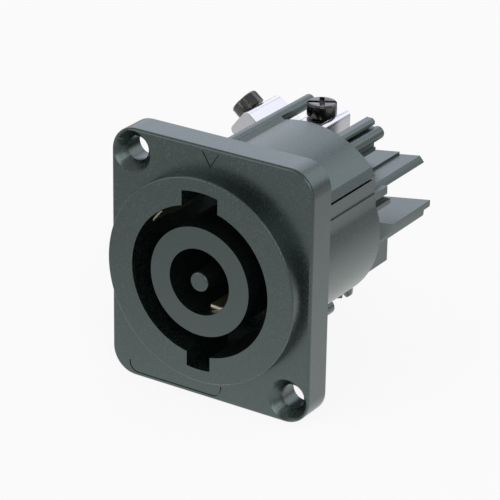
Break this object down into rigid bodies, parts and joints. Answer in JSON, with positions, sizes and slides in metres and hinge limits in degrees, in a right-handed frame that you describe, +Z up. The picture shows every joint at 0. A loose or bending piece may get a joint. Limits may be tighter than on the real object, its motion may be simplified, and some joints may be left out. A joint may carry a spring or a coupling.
{
  "type": "chassis power connector",
  "caption": "Panel-mount mains power connector with a square flange, a round keyed bayonet socket and screw clamps for solid or stranded wires at the rear.",
  "frame": {"origin": "on the socket axis, in the plane of the flange's back face, at the centre of the screw hole circle", "axes": "+Y along the socket axis from the open face to the terminals, +Z up to the side with the arrow mark, +X to the right seen from the front"},
  "size_m": [0.036, 0.0477, 0.0414],
  "materials": {
    "housing_plastic": "satin moulded",
    "core_plastic": "satin moulded",
    "block_plastic": "satin moulded",
    "contact_brass": "stamped, half bright",
    "clamp_nickel": "bright nickel plate",
    "screw_oxide": "black oxide"
  },
  "bodies": {
    "connector": {"flange_housing": "housing_plastic", "socket_core": "core_plastic", "terminal_block": "block_plastic", "line_contact": "contact_brass", "neutral_contact": "contact_brass", "earth_contact": "contact_brass"},
    "earth_screw": {"earth_clamp_screw": "screw_oxide"},
    "earth_cage": {"earth_clamp_cage": "clamp_nickel"},
    "neutral_screw": {"neutral_clamp_screw": "screw_oxide"},
    "neutral_cage": {"neutral_clamp_cage": "clamp_nickel"},
    "line_screw": {"line_clamp_screw": "screw_oxide"},
    "line_cage": {"line_clamp_cage": "clamp_nickel"}
  },
  "joints": [
    {"name": "earth_screw_turn", "type": "hinge", "parent": "connector", "child": "earth_screw", "pos_m": [-0.01372, 0.0282, 0.01313], "axis": [-0.788, 0, 0.6157], "range_deg": [0, 1620]},
    {"name": "earth_cage_slide", "type": "slide", "parent": "connector", "child": "earth_cage", "axis": [0.788, 0, -0.6157], "range_m": [0, 0.0027]},
    {"name": "neutral_screw_turn", "type": "hinge", "parent": "connector", "child": "neutral_screw", "pos_m": [-0.0009, 0.0282, 0.0151], "axis": [0, 0, 1], "range_deg": [0, 1620]},
    {"name": "neutral_cage_slide", "type": "slide", "parent": "connector", "child": "neutral_cage", "axis": [0, 0, -1], "range_m": [0, 0.0027]},
    {"name": "line_screw_turn", "type": "hinge", "parent": "connector", "child": "line_screw", "pos_m": [0.00315, 0.0282, -0.0122], "axis": [0, 0, -1], "range_deg": [0, 1620]},
    {"name": "line_cage_slide", "type": "slide", "parent": "connector", "child": "line_cage", "axis": [0, 0, 1], "range_m": [0, 0.0027]}
  ],
  "couplings": [
    {"joint": "earth_screw_turn", "follows": "earth_cage_slide", "rad_per_m": 10472},
    {"joint": "neutral_screw_turn", "follows": "neutral_cage_slide", "rad_per_m": 10472},
    {"joint": "line_screw_turn", "follows": "line_cage_slide", "rad_per_m": 10472}
  ]
}
